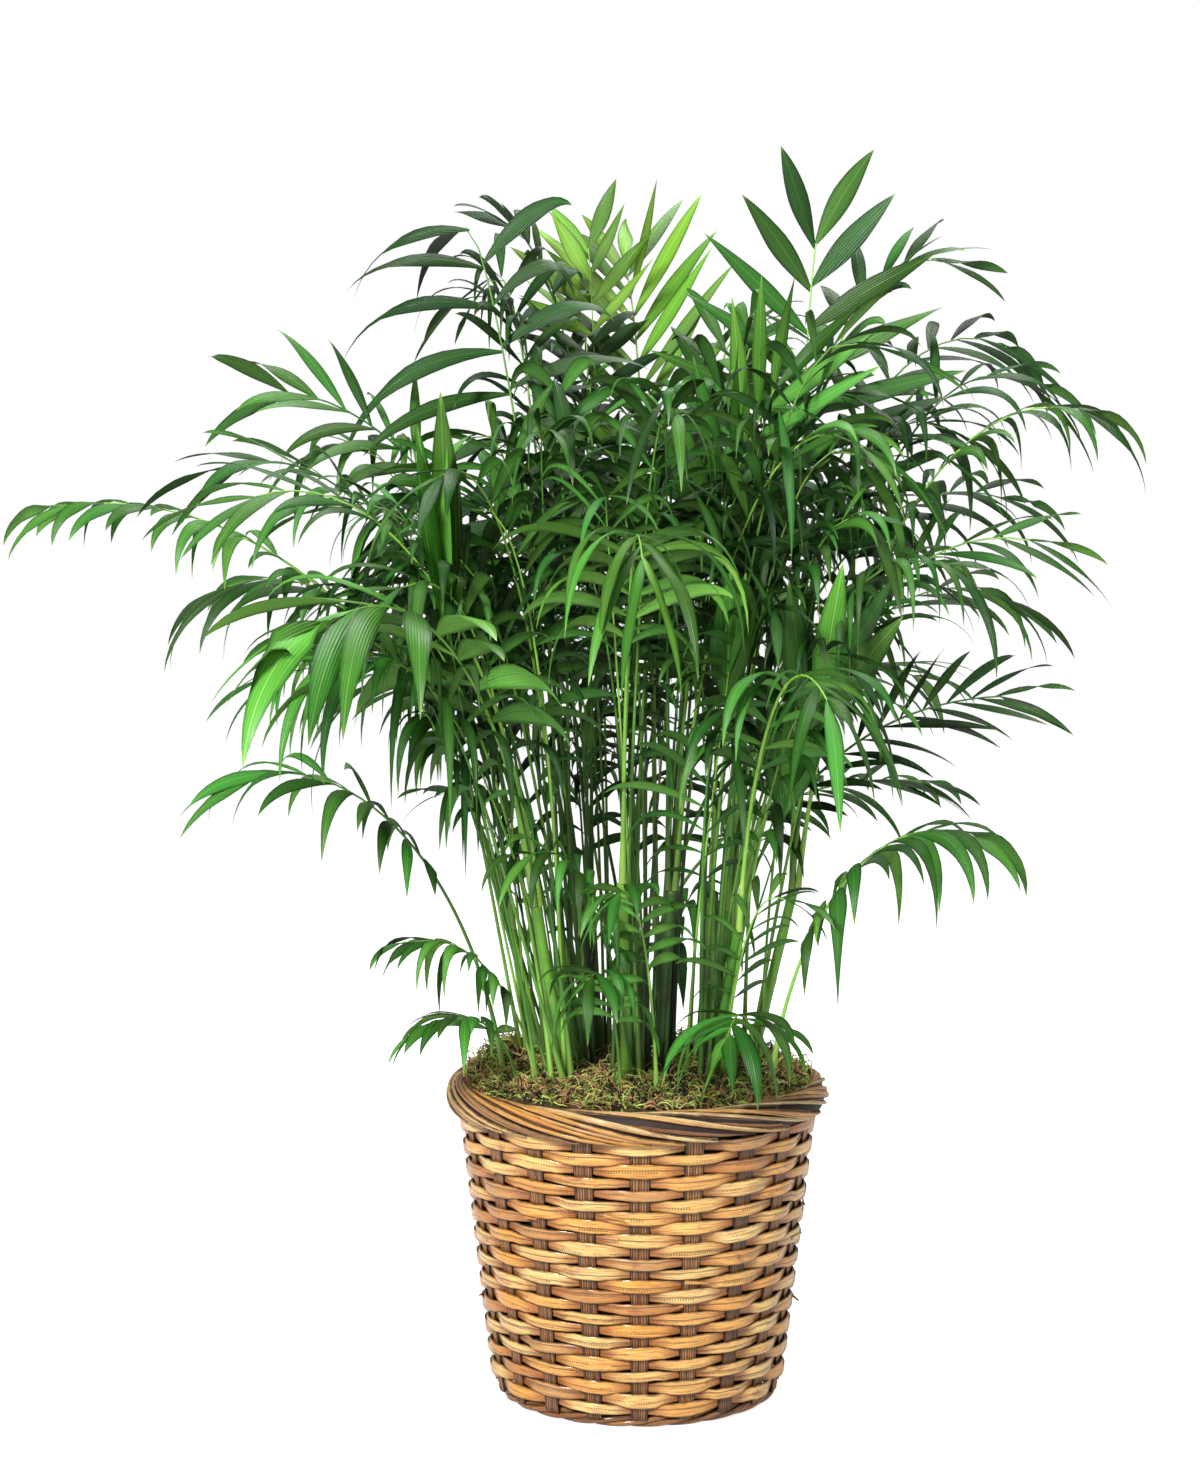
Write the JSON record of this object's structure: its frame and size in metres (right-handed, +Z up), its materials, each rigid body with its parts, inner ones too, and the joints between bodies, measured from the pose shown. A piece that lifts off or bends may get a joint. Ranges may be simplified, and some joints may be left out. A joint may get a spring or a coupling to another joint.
{
  "type": "potted parlour palm",
  "caption": "Parlour palm with slender clumped canes and arching feather fronds, rooted in mossy soil in a round woven cane basket with a twisted border.",
  "frame": {"origin": "middle of the basket's flat underside, on the surface that it stands on", "axes": "+Z up along the basket's axis; -Y is the side that the picture shows and +X is to its right"},
  "size_m": [0.8065, 0.6756, 0.9052],
  "materials": {
    "woven_cane": "satin honey-brown cane, darker at its edges and on the upright slats",
    "rim_cane": "satin honey-brown cane with reddish stains",
    "foot_cane": "satin reddish-brown cane",
    "soil": "matte, moist potting mix",
    "moss": "matte, brown and yellow-green strands",
    "stem": "satin green, ringed, brown at the foot",
    "leaf": "glossy deep green, finely ribbed"
  },
  "bodies": {
    "root": {"basket_floor": "foot_cane", "basket_foot": "foot_cane", "basket_wall": "woven_cane", "basket_rim": "rim_cane", "root_ball": "soil", "moss": "moss", "cane_01": "stem", "cane_02": "stem", "cane_03": "stem", "cane_04": "stem", "cane_05": "stem", "cane_06": "stem", "cane_07": "stem", "cane_08": "stem", "cane_09": "stem", "cane_10": "stem", "cane_11": "stem", "cane_12": "stem", "cane_13": "stem", "cane_14": "stem", "frond_far_left": "leaf", "frond_left_upper": "leaf", "frond_left_front": "leaf", "frond_left_lower": "leaf", "frond_left_high": "leaf", "frond_tall_left": "leaf", "frond_tall_left_back": "leaf", "frond_bright_back": "leaf", "frond_top_right": "leaf", "frond_right_top": "leaf", "frond_right_back": "leaf", "frond_right_high": "leaf", "frond_far_right": "leaf", "frond_right_middle_back": "leaf", "frond_right_middle": "leaf", "frond_right_under": "leaf", "frond_right_slant": "leaf", "frond_right_small": "leaf", "frond_right_low": "leaf", "frond_left_low": "leaf", "frond_broad_left": "leaf", "frond_front": "leaf", "frond_front_right": "leaf", "frond_fan_right": "leaf", "frond_crown_left": "leaf", "frond_low_left_upper": "leaf", "frond_low_left_lower": "leaf", "frond_low_right": "leaf", "frond_low_centre_upper": "leaf", "frond_low_centre_lower": "leaf", "frond_back_1": "leaf", "frond_back_2": "leaf", "frond_back_3": "leaf", "frond_back_4": "leaf", "frond_back_5": "leaf", "frond_inner_front_1": "leaf", "frond_inner_front_2": "leaf", "frond_inner_front_3": "leaf", "frond_inner_back_1": "leaf", "frond_inner_back_2": "leaf"}
  },
  "joints": []
}
